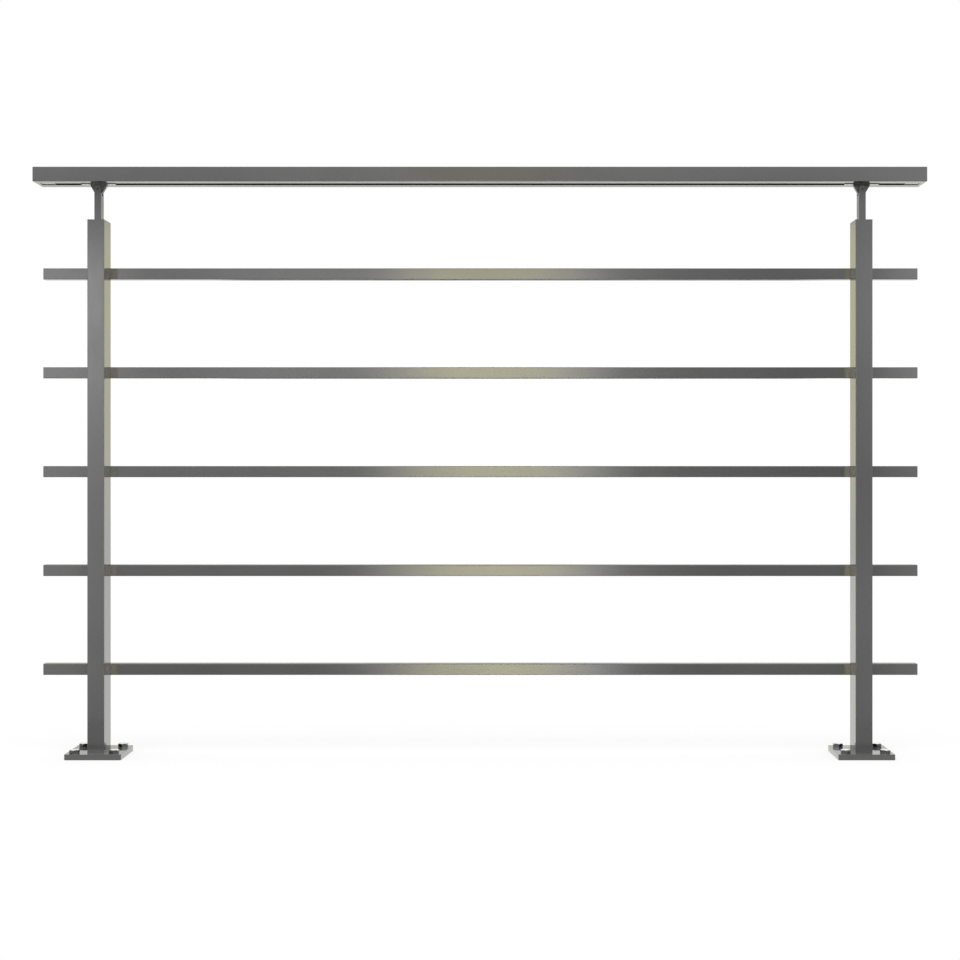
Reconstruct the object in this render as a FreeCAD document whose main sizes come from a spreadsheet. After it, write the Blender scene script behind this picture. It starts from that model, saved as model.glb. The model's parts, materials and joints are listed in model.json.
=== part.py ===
import FreeCAD, Part
import math
import os
import Sketcher

# A deck railing section: a slotted handrail on two bolted-down posts, with five crossbars behind them.
# Millimetres. +X runs along the rail to the right-hand post, +Z is up, and the side seen from the
# deck faces -Y. The origin is the centre of the left base plate's underside.

SIZES = {
    # whole section
    "post_spacing": 1360,
    "top_height": 1045,
    "post_to_rail_gap": 66,
    "fit_clearance": 0.2,
    # base plates, each with four anchor holes on a square
    "plate_side": 100,
    "plate_thickness": 10,
    "plate_corner_radius": 3,
    "plate_edge_chamfer": 0.5,
    "anchor_spacing": 70,
    "anchor_hole_diameter": 11,
    # posts, rectangular tube
    "post_width": 30,
    "post_depth": 50,
    "post_wall": 3,
    "post_corner_radius": 1,
    "post_cap_thickness": 8,
    # crossbars, square tube, each screwed to the rear faces of both posts
    "crossbar_count": 5,
    "crossbar_side": 20,
    "crossbar_wall": 2,
    "crossbar_corner_radius": 1,
    "crossbar_overhang": 106.5,
    "lowest_crossbar_height": 150.2,
    "top_crossbar_below_post_top": 91,
    "crossbar_screw_diameter": 5.5,
    "post_pilot_diameter": 4.6,
    "plug_face_thickness": 3,
    "plug_core_length": 9,
    "plug_core_step": 1.5,
    # handrail, extruded with a slot along its underside
    "rail_overhang": 110,
    "rail_depth": 65,
    "rail_height": 26,
    "rail_wall": 3,
    "rail_corner_radius": 1,
    "slot_width": 20,
    "end_cap_thickness": 7,
    "spigot_length": 12,
    "end_cap_edge_chamfer": 0.8,
    # keys that fill the slot: a neck in the slot and a flange that lies on its lips
    "key_flange_width": 36,
    "key_flange_thickness": 3,
    "saddle_stands_proud": 1,
    "saddle_length": 61,
    "saddle_screw_spacing": 48,
    "lug_sits_back": 1,
    "lug_length": 25,
    "key_screw_diameter": 4.3,
    "key_screw_head_diameter": 8.6,
    # bracket heads and the forked stems that hold them
    "head_width": 29,
    "head_depth": 8,
    "head_height": 16.5,
    "head_side_height": 2,
    "head_foot_radius": 1.5,
    "stem_width": 12,
    "stem_depth": 20,
    "stem_reach_into_post": 60,
    "fork_gap_below_head": 3.2,
    "pivot_drop": 8.5,
    "pivot_hole_diameter": 4,
}

# Heights and offsets that several pieces share
RAIL_UNDERSIDE = "(sizes.top_height - sizes.rail_height)"
RAIL_MIDDLE = "(sizes.top_height - sizes.rail_height / 2)"
POST_TOP = "(" + RAIL_UNDERSIDE + " - sizes.post_to_rail_gap)"
CROSSBAR_RISE = "(" + POST_TOP + " - sizes.top_crossbar_below_post_top - sizes.lowest_crossbar_height)"
CROSSBAR_MIDDLE_Y = "(sizes.post_depth / 2 + sizes.crossbar_side / 2)"
SADDLE_UNDERSIDE = "(" + RAIL_UNDERSIDE + " - sizes.saddle_stands_proud)"
LUG_UNDERSIDE = "(" + RAIL_UNDERSIDE + " + sizes.lug_sits_back)"
PIVOT_HEIGHT = "(" + SADDLE_UNDERSIDE + " - sizes.pivot_drop)"

# A base plate's anchors stand at the corners of a square
ANCHOR_COUNT = 4

# Turns, in degrees
HALF_TURN = 180
FULL_TURN = 360

# How near two heights or two directions are before they count as the same
SAME_HEIGHT = 0.001
SAME_DIRECTION = 0.999

# How a sketch refers to the ends and the centre of a curve, to its own origin and to its upright axis
START, END, CENTRE = 1, 2, 3
ORIGIN_POINT = (-1, START)
UPRIGHT_AXIS = -2

doc = FreeCAD.newDocument("deck_railing_section")
sheet = doc.addObject("Spreadsheet::Sheet", "sizes")


def fill_sheet():
    for row, (alias, size) in enumerate(SIZES.items(), start=1):
        sheet.set("A%d" % row, alias.replace("_", " "))
        sheet.set("B%d" % row, str(size))
        sheet.setAlias("B%d" % row, alias)
    doc.recompute()


def value(formula):
    return float(sheet.evalExpression(formula))


def new_body(name):
    body = doc.addObject("PartDesign::Body", name)
    body.Label = name
    return body


def origin_feature(body, role):
    return next(item for item in body.Origin.OriginFeatures if item.Role == role)


def new_sketch(body, name, plane, shift_x="0", shift_y="0"):
    """Start a sketch on one of the body's origin planes, shifted within it."""
    sketch = body.newObject("Sketcher::SketchObject", name)
    sketch.AttachmentSupport = (origin_feature(body, plane), [""])
    sketch.MapMode = "FlatFace"
    sketch.setExpression("AttachmentOffset.Base.x", shift_x)
    sketch.setExpression("AttachmentOffset.Base.y", shift_y)
    return sketch


def bind(sketch, name, kind, *geometry, formula):
    """Add a constraint whose size follows a formula of the driving sizes."""
    index = sketch.addConstraint(Sketcher.Constraint(kind, *geometry, value(formula)))
    sketch.renameConstraint(index, name)
    sketch.setExpression("Constraints." + name, formula)


def constrain(sketch, kind, *geometry):
    sketch.addConstraint(Sketcher.Constraint(kind, *geometry))


def level(sketch, *lines):
    for line in lines:
        constrain(sketch, "Horizontal", line)


def upright(sketch, *lines):
    for line in lines:
        constrain(sketch, "Vertical", line)


def draw_line(sketch, start, end):
    return sketch.addGeometry(Part.LineSegment(FreeCAD.Vector(*start, 0), FreeCAD.Vector(*end, 0)))


def circle_about(centre, radius):
    return Part.Circle(FreeCAD.Vector(*centre, 0), FreeCAD.Vector(0, 0, 1), radius)


def draw_polygon(sketch, points):
    """Join points with lines that meet end to end, and give the lines in their order."""
    lines = [draw_line(sketch, start, end) for start, end in zip(points, points[1:] + points[:1])]
    for line, following in zip(lines, lines[1:] + lines[:1]):
        constrain(sketch, "Coincident", line, END, following, START)
    return lines


def draw_rectangle(sketch, name, width, height):
    """Draw a sharp rectangle centred on the sketch's origin."""
    x, y = value(width) / 2, value(height) / 2
    bottom, right, top, left = draw_polygon(sketch, [(-x, -y), (x, -y), (x, y), (-x, y)])
    level(sketch, bottom, top)
    upright(sketch, right, left)
    constrain(sketch, "Symmetric", bottom, START, top, START, *ORIGIN_POINT)
    bind(sketch, name + "_width", "DistanceX", bottom, START, bottom, END, formula=width)
    bind(sketch, name + "_height", "DistanceY", right, START, right, END, formula=height)


def draw_rounded_rectangle(sketch, name, width, height, radius):
    """Draw a rectangle with rounded corners, centred on the sketch's origin."""
    x, y, r = value(width) / 2, value(height) / 2, value(radius)
    bottom = draw_line(sketch, (-x + r, -y), (x - r, -y))
    right = draw_line(sketch, (x, -y + r), (x, y - r))
    top = draw_line(sketch, (x - r, y), (-x + r, y))
    left = draw_line(sketch, (-x, y - r), (-x, -y + r))
    centres = [(x - r, -y + r), (x - r, y - r), (-x + r, y - r), (-x + r, -y + r)]
    corners = []
    for quarter, centre in enumerate(centres):
        start_angle = (quarter - 1) * math.pi / 2
        arc = Part.ArcOfCircle(circle_about(centre, r), start_angle, start_angle + math.pi / 2)
        corners.append(sketch.addGeometry(arc))
    for line, corner, following in zip((bottom, right, top, left), corners, (right, top, left, bottom)):
        constrain(sketch, "Tangent", line, END, corner, START)
        constrain(sketch, "Tangent", corner, END, following, START)
    level(sketch, bottom, top)
    upright(sketch, right, left)
    for corner in corners[1:]:
        constrain(sketch, "Equal", corners[0], corner)
    constrain(sketch, "Symmetric", corners[0], CENTRE, corners[2], CENTRE, *ORIGIN_POINT)
    bind(sketch, name + "_radius", "Radius", corners[0], formula=radius)
    bind(sketch, name + "_width", "DistanceX", left, START, right, START, formula=width)
    bind(sketch, name + "_height", "DistanceY", bottom, START, top, START, formula=height)


def draw_circle(sketch, name, diameter):
    """Draw a circle centred on the sketch's origin."""
    circle = sketch.addGeometry(circle_about((0, 0), value(diameter) / 2))
    constrain(sketch, "Coincident", circle, CENTRE, *ORIGIN_POINT)
    bind(sketch, name + "_diameter", "Diameter", circle, formula=diameter)


def pad(body, sketch, length, midplane=False, reverse=False):
    feature = body.newObject("PartDesign::Pad", sketch.Name + "_pad")
    feature.Profile = sketch
    feature.setExpression("Length", length)
    feature.Midplane = midplane
    feature.Reversed = reverse
    sketch.Visibility = False
    doc.recompute()
    return feature


def pocket_through(body, sketch, both_ways=True):
    """Cut a sketch right through the body, or only through what lies behind the sketch's plane."""
    before = body.Shape.Volume
    feature = body.newObject("PartDesign::Pocket", sketch.Name + "_pocket")
    feature.Profile = sketch
    feature.Type = "ThroughAll"
    feature.Midplane = both_ways
    doc.recompute()
    require_less(body, before)
    return feature


def require_less(body, before):
    if body.Shape.Volume >= before:
        raise RuntimeError("nothing was cut from " + body.Label)


def edges_where(feature, test):
    """Name the edges of a feature whose shape passes a test."""
    return ["Edge%d" % (index + 1) for index, edge in enumerate(feature.Shape.Edges) if test(edge)]


def dress_edges(body, kind, feature, edges, size_name, size):
    """Round or chamfer the named edges of a feature."""
    dressed = body.newObject("PartDesign::" + kind, feature.Name + "_" + kind.lower())
    dressed.Base = (feature, edges)
    dressed.setExpression(size_name, size)
    doc.recompute()
    return dressed


def place(body, along="0", across="0", up="0", turned=False):
    """Put a body in the assembly, turned half round for the right-hand twin of an end piece."""
    turn = HALF_TURN if turned else 0
    body.Placement = FreeCAD.Placement(
        FreeCAD.Vector(0, 0, 0), FreeCAD.Rotation(FreeCAD.Vector(0, 0, 1), turn))
    body.setExpression("Placement.Base.x", along)
    body.setExpression("Placement.Base.y", across)
    body.setExpression("Placement.Base.z", up)
    doc.recompute()
    return body


def runs_along(edge, axis):
    """Tell whether an edge is straight and parallel to an axis."""
    if not isinstance(edge.Curve, Part.Line):
        return False
    return abs(edge.Curve.Direction.dot(axis)) > SAME_DIRECTION


def lies_at_height(edge, height):
    """Tell whether every point of an edge is at one height."""
    box = edge.BoundBox
    return abs(box.ZMin - height) < SAME_HEIGHT and abs(box.ZMax - height) < SAME_HEIGHT


def make_base_plate(name):
    """A square plate with rounded corners and four anchor holes, its underside at the floor."""
    body = new_body(name)
    outline = new_sketch(body, name + "_outline", "XY_Plane")
    draw_rounded_rectangle(outline, "plate", "sizes.plate_side", "sizes.plate_side",
                           "sizes.plate_corner_radius")
    plate = pad(body, outline, "sizes.plate_thickness")
    top = value("sizes.plate_thickness")
    rim = edges_where(plate, lambda edge: lies_at_height(edge, top))
    dress_edges(body, "Chamfer", plate, rim, "Size", "sizes.plate_edge_chamfer")
    corner = "sizes.anchor_spacing / 2"
    anchor = new_sketch(body, name + "_anchor", "XY_Plane", shift_x=corner, shift_y=corner)
    draw_circle(anchor, "anchor", "sizes.anchor_hole_diameter")
    hole = pocket_through(body, anchor)
    before = body.Shape.Volume
    ring = body.newObject("PartDesign::PolarPattern", name + "_anchors")
    ring.Originals = [hole]
    ring.Axis = (origin_feature(body, "Z_Axis"), [""])
    ring.Angle = FULL_TURN
    ring.Occurrences = ANCHOR_COUNT
    body.Tip = ring
    doc.recompute()
    require_less(body, before)
    return body


def make_post(name):
    """A rectangular tube, its rear wall drilled for the screws that hold the crossbars."""
    body = new_body(name)
    section = new_sketch(body, name + "_section", "XY_Plane")
    draw_rounded_rectangle(section, "outside", "sizes.post_width", "sizes.post_depth",
                           "sizes.post_corner_radius")
    draw_rectangle(section, "inside", "sizes.post_width - 2 * sizes.post_wall",
                   "sizes.post_depth - 2 * sizes.post_wall")
    pad(body, section, POST_TOP + " - sizes.plate_thickness")
    pilot = new_sketch(body, name + "_pilot", "XZ_Plane",
                       shift_y="sizes.lowest_crossbar_height - sizes.plate_thickness")
    draw_circle(pilot, "pilot", "sizes.post_pilot_diameter")
    cut = pocket_through(body, pilot, both_ways=False)
    before = body.Shape.Volume
    pilots = body.newObject("PartDesign::LinearPattern", name + "_pilots")
    pilots.Originals = [cut]
    pilots.Direction = (origin_feature(body, "Z_Axis"), [""])
    pilots.setExpression("Length", CROSSBAR_RISE)
    pilots.setExpression("Occurrences", "sizes.crossbar_count")
    body.Tip = pilots
    doc.recompute()
    require_less(body, before)
    return body


def make_post_cap(name):
    """A plug let in flush with the post's top, with a rectangular hole that the stem rises through."""
    body = new_body(name)
    section = new_sketch(body, name + "_section", "XY_Plane")
    around = "2 * (sizes.post_wall + sizes.fit_clearance)"
    draw_rectangle(section, "outside", "sizes.post_width - " + around, "sizes.post_depth - " + around)
    draw_rectangle(section, "stem_hole", "sizes.stem_width + 2 * sizes.fit_clearance",
                   "sizes.stem_depth + 2 * sizes.fit_clearance")
    pad(body, section, "sizes.post_cap_thickness", reverse=True)
    return body


def make_crossbar(name):
    """A square tube, drawn across its length and bored through behind each post for a screw."""
    body = new_body(name)
    section = new_sketch(body, name + "_section", "YZ_Plane")
    draw_rounded_rectangle(section, "outside", "sizes.crossbar_side", "sizes.crossbar_side",
                           "sizes.crossbar_corner_radius")
    bore = "sizes.crossbar_side - 2 * sizes.crossbar_wall"
    draw_rectangle(section, "inside", bore, bore)
    pad(body, section, "sizes.post_spacing + 2 * sizes.crossbar_overhang")
    screws = (("left", "sizes.crossbar_overhang"), ("right", "sizes.crossbar_overhang + sizes.post_spacing"))
    for side, along in screws:
        hole = new_sketch(body, name + "_hole_" + side, "XZ_Plane", shift_x=along)
        draw_circle(hole, "hole", "sizes.crossbar_screw_diameter")
        pocket_through(body, hole)
    return body


def make_crossbar_plug(name):
    """A stepped plug let in flush with the end of a crossbar: a face that fills the bore and a core."""
    body = new_body(name)
    face_side = "sizes.crossbar_side - 2 * (sizes.crossbar_wall + sizes.fit_clearance)"
    face = new_sketch(body, name + "_face", "YZ_Plane")
    draw_rectangle(face, "face", face_side, face_side)
    pad(body, face, "sizes.plug_face_thickness")
    core_side = face_side + " - 2 * sizes.plug_core_step"
    core = new_sketch(body, name + "_core", "YZ_Plane")
    draw_rectangle(core, "core", core_side, core_side)
    pad(body, core, "sizes.plug_face_thickness + sizes.plug_core_length")
    return body


def make_handrail(name):
    """A flat hollow extrusion whose underside is slotted along its whole length."""
    body = new_body(name)
    section = new_sketch(body, name + "_section", "YZ_Plane")
    draw_rounded_rectangle(section, "outside", "sizes.rail_depth", "sizes.rail_height",
                           "sizes.rail_corner_radius")
    draw_rectangle(section, "inside", "sizes.rail_depth - 2 * sizes.rail_wall",
                   "sizes.rail_height - 2 * sizes.rail_wall")
    pad(body, section, "sizes.post_spacing + 2 * (sizes.rail_overhang - sizes.end_cap_thickness)")
    slot = new_sketch(body, name + "_slot", "YZ_Plane", shift_y="-(sizes.rail_height - sizes.rail_wall) / 2")
    draw_rectangle(slot, "slot", "sizes.slot_width", "2 * sizes.rail_wall")
    pocket_through(body, slot)
    return body


def make_end_cap(name):
    """A cap with the rail's own outline, and a spigot that enters the rail above the slot's lug."""
    body = new_body(name)
    face = new_sketch(body, name + "_face", "YZ_Plane")
    draw_rounded_rectangle(face, "face", "sizes.rail_depth", "sizes.rail_height",
                           "sizes.rail_corner_radius")
    cap = pad(body, face, "sizes.end_cap_thickness")
    rim = edges_where(cap, lambda edge: edge.BoundBox.XMax < SAME_HEIGHT)
    dress_edges(body, "Chamfer", cap, rim, "Size",
                "min(sizes.end_cap_edge_chamfer; sizes.end_cap_thickness / 2)")
    spigot = new_sketch(body, name + "_spigot", "YZ_Plane", shift_y="sizes.key_flange_thickness / 2")
    around = "2 * (sizes.rail_wall + sizes.fit_clearance)"
    draw_rectangle(spigot, "spigot", "sizes.rail_depth - " + around,
                   "sizes.rail_height - " + around + " - sizes.key_flange_thickness")
    pad(body, spigot, "sizes.end_cap_thickness + sizes.spigot_length")
    return body


def draw_key_section(sketch, neck_height):
    """Draw the upside-down T of a slot key: its neck in the slot, its flange above the slot's lips."""
    neck = value("sizes.slot_width / 2 - sizes.fit_clearance")
    flange = value("sizes.key_flange_width / 2")
    lip = value(neck_height)
    top = lip + value("sizes.key_flange_thickness")
    points = [(-neck, 0), (neck, 0), (neck, lip), (flange, lip),
              (flange, top), (-flange, top), (-flange, lip), (-neck, lip)]
    lines = draw_polygon(sketch, points)
    neck_foot, neck_right, lip_right, right, flange_top, left, lip_left, neck_left = lines
    level(sketch, neck_foot, lip_right, lip_left)
    upright(sketch, neck_right, right, left, neck_left)
    constrain(sketch, "Symmetric", neck_foot, START, neck_foot, END, *ORIGIN_POINT)
    constrain(sketch, "Symmetric", flange_top, START, flange_top, END, UPRIGHT_AXIS)
    constrain(sketch, "Equal", neck_right, neck_left)
    bind(sketch, "neck_width", "DistanceX", neck_foot, START, neck_foot, END,
         formula="sizes.slot_width - 2 * sizes.fit_clearance")
    bind(sketch, "neck_height", "DistanceY", neck_right, START, neck_right, END, formula=neck_height)
    bind(sketch, "flange_height", "DistanceY", right, START, right, END, formula="sizes.key_flange_thickness")
    bind(sketch, "flange_width", "DistanceX", flange_top, END, flange_top, START,
         formula="sizes.key_flange_width")


def cut_countersunk_hole(body, name, along, neck_height):
    """Turn a countersunk screw hole, its wide mouth at the key's underside."""
    mouth = value("sizes.key_screw_head_diameter / 2")
    shank = value("sizes.key_screw_diameter / 2")
    sink = mouth - shank
    key_height = neck_height + " + sizes.key_flange_thickness"
    top = value(key_height)
    before = body.Shape.Volume
    profile = new_sketch(body, name + "_profile", "XZ_Plane", shift_x=along)
    points = [(0, 0), (mouth, 0), (shank, sink), (shank, top), (0, top)]
    mouth_line, cone, wall, top_line, middle = draw_polygon(profile, points)
    level(profile, mouth_line, top_line)
    upright(profile, wall, middle)
    constrain(profile, "Coincident", mouth_line, START, *ORIGIN_POINT)
    bind(profile, "mouth", "DistanceX", mouth_line, START, mouth_line, END,
         formula="sizes.key_screw_head_diameter / 2")
    bind(profile, "shank", "DistanceX", top_line, END, top_line, START,
         formula="sizes.key_screw_diameter / 2")
    bind(profile, "sink", "DistanceY", cone, START, cone, END,
         formula="(sizes.key_screw_head_diameter - sizes.key_screw_diameter) / 2")
    bind(profile, "through", "DistanceY", mouth_line, START, top_line, END, formula=key_height)
    hole = body.newObject("PartDesign::Groove", name)
    hole.Profile = profile
    hole.ReferenceAxis = (profile, ["V_Axis"])
    hole.Angle = FULL_TURN
    doc.recompute()
    require_less(body, before)
    return hole


def make_saddle(name):
    """The slot key above a post: it stands a little proud of the rail and carries the bracket head."""
    body = new_body(name)
    section = new_sketch(body, name + "_section", "YZ_Plane")
    neck_height = "sizes.rail_wall + sizes.saddle_stands_proud"
    draw_key_section(section, neck_height)
    pad(body, section, "sizes.saddle_length", midplane=True)
    hole = cut_countersunk_hole(body, name + "_screw_hole", "sizes.saddle_screw_spacing / 2", neck_height)
    before = body.Shape.Volume
    pair = body.newObject("PartDesign::Mirrored", name + "_screw_holes")
    pair.Originals = [hole]
    pair.MirrorPlane = (origin_feature(body, "YZ_Plane"), [""])
    body.Tip = pair
    doc.recompute()
    require_less(body, before)
    return body


def make_end_lug(name):
    """The short slot key that closes the slot behind an end cap, set a little back into the slot."""
    body = new_body(name)
    section = new_sketch(body, name + "_section", "YZ_Plane")
    neck_height = "sizes.rail_wall - sizes.lug_sits_back"
    draw_key_section(section, neck_height)
    pad(body, section, "sizes.lug_length")
    cut_countersunk_hole(body, name + "_screw_hole", "sizes.lug_length / 2", neck_height)
    return body


def make_bracket_head(name):
    """A block that tapers from the saddle down into the stem's fork, bored for the pivot screw."""
    body = new_body(name)
    outline = new_sketch(body, name + "_outline", "XZ_Plane")
    wide = value("sizes.head_width / 2")
    narrow = value("sizes.stem_width / 2")
    side = value("sizes.head_side_height")
    deep = value("sizes.head_height")
    points = [(-wide, 0), (-wide, -side), (-narrow, -deep), (narrow, -deep), (wide, -side), (wide, 0)]
    left, left_taper, foot_line, right_taper, right, top = draw_polygon(outline, points)
    level(outline, top)
    upright(outline, left, right)
    constrain(outline, "Symmetric", left, START, top, START, *ORIGIN_POINT)
    constrain(outline, "Symmetric", foot_line, START, foot_line, END, UPRIGHT_AXIS)
    constrain(outline, "Equal", left, right)
    bind(outline, "top_width", "DistanceX", left, START, top, START, formula="sizes.head_width")
    bind(outline, "side_height", "DistanceY", left, END, left, START, formula="sizes.head_side_height")
    bind(outline, "foot_width", "DistanceX", foot_line, START, foot_line, END, formula="sizes.stem_width")
    bind(outline, "height", "DistanceY", foot_line, START, left, START, formula="sizes.head_height")
    block = pad(body, outline, "sizes.head_depth", midplane=True)
    across = FreeCAD.Vector(0, 1, 0)
    foot = edges_where(block, lambda edge: runs_along(edge, across) and lies_at_height(edge, -deep))
    dress_edges(body, "Fillet", block, foot, "Radius", "min(sizes.head_foot_radius; sizes.stem_width / 3)")
    pivot = new_sketch(body, name + "_pivot", "XZ_Plane", shift_y="-sizes.pivot_drop")
    draw_circle(pivot, "pivot", "sizes.pivot_hole_diameter")
    pocket_through(body, pivot)
    return body


def make_stem(name):
    """A flat bar that rises out of the post and ends in a round-topped fork round the bracket head."""
    body = new_body(name)
    outline = new_sketch(body, name + "_outline", "XZ_Plane")
    half = value("sizes.stem_width / 2")
    foot_formula = PIVOT_HEIGHT + " - " + POST_TOP + " + sizes.stem_reach_into_post"
    foot = -value(foot_formula)
    left = draw_line(outline, (-half, 0), (-half, foot))
    bottom = draw_line(outline, (-half, foot), (half, foot))
    right = draw_line(outline, (half, foot), (half, 0))
    crown = outline.addGeometry(Part.ArcOfCircle(circle_about((0, 0), half), 0, math.pi))
    constrain(outline, "Coincident", left, END, bottom, START)
    constrain(outline, "Coincident", bottom, END, right, START)
    constrain(outline, "Tangent", right, END, crown, START)
    constrain(outline, "Tangent", crown, END, left, START)
    level(outline, bottom)
    upright(outline, left)
    constrain(outline, "Coincident", crown, CENTRE, *ORIGIN_POINT)
    bind(outline, "width", "DistanceX", bottom, START, bottom, END, formula="sizes.stem_width")
    bind(outline, "length", "DistanceY", left, END, crown, CENTRE, formula=foot_formula)
    pad(body, outline, "sizes.stem_depth", midplane=True)
    gap_top = "sizes.stem_width"
    gap_bottom = "(sizes.head_height - sizes.pivot_drop + sizes.fork_gap_below_head)"
    gap_middle = "(" + gap_top + " - " + gap_bottom + ") / 2"
    gap = new_sketch(body, name + "_fork_gap", "YZ_Plane", shift_y=gap_middle)
    draw_rectangle(gap, "gap", "sizes.head_depth + 2 * sizes.fit_clearance", gap_top + " + " + gap_bottom)
    pocket_through(body, gap)
    pivot = new_sketch(body, name + "_pivot", "XZ_Plane")
    draw_circle(pivot, "pivot", "sizes.pivot_hole_diameter")
    pocket_through(body, pivot)
    return body


def build_assembly():
    """Make every piece and put it in its place, and give the list of them."""
    pieces = []
    rail_start = "-sizes.rail_overhang"
    rail_end = "sizes.post_spacing + sizes.rail_overhang"
    for side, along in (("left", "0"), ("right", "sizes.post_spacing")):
        pieces += [
            place(make_base_plate("base_plate_" + side), along),
            place(make_post("post_" + side), along, up="sizes.plate_thickness"),
            place(make_post_cap("post_cap_" + side), along, up=POST_TOP),
            place(make_stem("stem_" + side), along, up=PIVOT_HEIGHT),
            place(make_bracket_head("bracket_head_" + side), along, up=SADDLE_UNDERSIDE),
            place(make_saddle("saddle_plate_" + side), along, up=SADDLE_UNDERSIDE),
        ]
    pieces.append(place(make_handrail("handrail"), rail_start + " + sizes.end_cap_thickness", up=RAIL_MIDDLE))
    ends = (("left", rail_start, "+", False), ("right", rail_end, "-", True))
    for side, end, inwards, turned in ends:
        pieces.append(place(make_end_cap("end_cap_" + side), end, up=RAIL_MIDDLE, turned=turned))
        lug_start = end + inwards + "sizes.end_cap_thickness"
        pieces.append(place(make_end_lug("end_lug_" + side), lug_start, up=LUG_UNDERSIDE, turned=turned))
    bar_start = "-sizes.crossbar_overhang"
    bar_end = "sizes.post_spacing + sizes.crossbar_overhang"
    for number in range(int(value("sizes.crossbar_count"))):
        climb = " + %d * " % number + CROSSBAR_RISE + " / (sizes.crossbar_count - 1)"
        height = "sizes.lowest_crossbar_height" + climb
        label = str(number + 1)
        pieces.append(place(make_crossbar("crossbar_" + label), bar_start, CROSSBAR_MIDDLE_Y, height))
        for side, end, turned in (("left", bar_start, False), ("right", bar_end, True)):
            plug = make_crossbar_plug("crossbar_plug_" + side + "_" + label)
            pieces.append(place(plug, end, CROSSBAR_MIDDLE_Y, height, turned))
    return pieces


def check_document(pieces):
    """Stop on any failed feature, and on any piece that is not one valid solid."""
    for item in doc.Objects:
        if "Invalid" in item.State or "Error" in item.State:
            raise RuntimeError("feature failed: " + item.Label)
    for piece in pieces:
        shape = piece.Shape
        if shape.isNull() or not shape.isValid() or len(shape.Solids) != 1:
            raise RuntimeError("not one valid solid: " + piece.Label)


def write_steps(pieces):
    os.makedirs("parts", exist_ok=True)
    for piece in pieces:
        piece.Shape.exportStep(os.path.join("parts", piece.Label + ".step"))


fill_sheet()
railing = build_assembly()
doc.recompute()
check_document(railing)
write_steps(railing)
for piece in railing:
    print("%-24s %10.1f mm3" % (piece.Label, piece.Shape.Volume))
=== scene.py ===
import json
import math
import random

import bmesh
import bpy
from mathutils import Matrix, Vector


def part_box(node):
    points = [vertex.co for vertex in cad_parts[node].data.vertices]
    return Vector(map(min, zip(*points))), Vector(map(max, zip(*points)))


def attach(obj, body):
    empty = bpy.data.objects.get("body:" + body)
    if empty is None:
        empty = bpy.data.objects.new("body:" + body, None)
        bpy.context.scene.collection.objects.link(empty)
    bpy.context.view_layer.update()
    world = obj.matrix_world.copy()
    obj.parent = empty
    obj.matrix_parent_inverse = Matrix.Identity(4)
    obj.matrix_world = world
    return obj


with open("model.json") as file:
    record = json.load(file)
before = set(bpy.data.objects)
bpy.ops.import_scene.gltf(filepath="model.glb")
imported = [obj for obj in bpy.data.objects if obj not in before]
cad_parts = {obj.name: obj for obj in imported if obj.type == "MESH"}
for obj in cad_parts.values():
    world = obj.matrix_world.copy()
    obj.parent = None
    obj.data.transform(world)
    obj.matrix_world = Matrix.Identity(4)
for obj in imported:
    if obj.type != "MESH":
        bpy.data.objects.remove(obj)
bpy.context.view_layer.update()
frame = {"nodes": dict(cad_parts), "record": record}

MM = 0.001
SIDES = ("left", "right")
BARS = range(1, 6)
SEED = 16

# Anchor bolts: millimetres, and shares of the head's width across its flats or of its crown
ANCHOR_FLATS = 16.0
ANCHOR_HEAD_HEIGHT = 6.4
ANCHOR_HEAD_CHAMFER = math.radians(30)
ANCHOR_COLLAR_SHARE = 0.95
ANCHOR_COLLAR_HEIGHT = 0.4
ANCHOR_CROWN_SHARE = 0.94
ANCHOR_TOP_SHARE = 0.97
ANCHOR_SHANK = 10.0
ANCHOR_SHANK_CHAMFER = 0.8
ANCHOR_SHANK_LIFT = 0.2
ANCHOR_TURN = math.radians(12)

# Round-headed screws that hold the crossbars: millimetres, and shares of the head's height
BAR_SCREW_HEAD = 10.5
BAR_SCREW_HEAD_HEIGHT = 3.0
BAR_SCREW_RIM_SHARE = 0.2
BAR_SCREW_FACE_SHARE = 0.985
BAR_SCREW_ARC_DEGREES = range(0, 61, 12)
BAR_SCREW_SHANK = 5.2
BAR_SCREW_PAST_BAR = 4.0
BAR_SOCKET = 3.0
BAR_SOCKET_WALL_SHARE = 0.6
BAR_SOCKET_DEPTH_SHARE = 0.72

# Countersunk screws in the slot keys, in millimetres
KEY_SCREW_SPACING = 48.0
KEY_SCREW_HEAD = 8.2
KEY_SCREW_EDGE_WIDTH = 0.2
KEY_SCREW_EDGE_DEPTH = 0.05
KEY_SCREW_LAND = 0.25
KEY_SCREW_SHANK = 4.0
KEY_SCREW_SINK = 2.05
KEY_SCREW_INSET = 0.05
KEY_SCREW_SHORTER = 0.3
KEY_SOCKET = 4.0

# Grub screws in the forks, in millimetres
PIVOT_SHANK = 3.9
PIVOT_EDGE_WIDTH = 0.5
PIVOT_EDGE_DEPTH = 0.3
PIVOT_SINK = 1.5
PIVOT_SOCKET = 2.0
PIVOT_SOCKET_DEPTH = 2.5

# Mouths of the sockets: round edge and lead-in as shares of the flats, and the lead-in's depth in millimetres.
# Below them, the walls' share of the depth, and the share of the flats to which the bottom cone narrows.
BAR_SOCKET_MOUTH = (1.34, 1.06, 0.15)
KEY_SOCKET_MOUTH = (1.36, 1.08, 0.2)
PIVOT_SOCKET_MOUTH = (1.3, 1.08, 0.1)
SOCKET_WALL_SHARE = 0.85
SOCKET_CONE_SHARE = 0.3

# Roundness of the fasteners: the steps are a multiple of 12, so that hexagons keep their corners
ROUND_STEPS = 72
SIXTH_TURN = math.pi / 3
SHARP_EDGE = math.radians(28)

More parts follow.
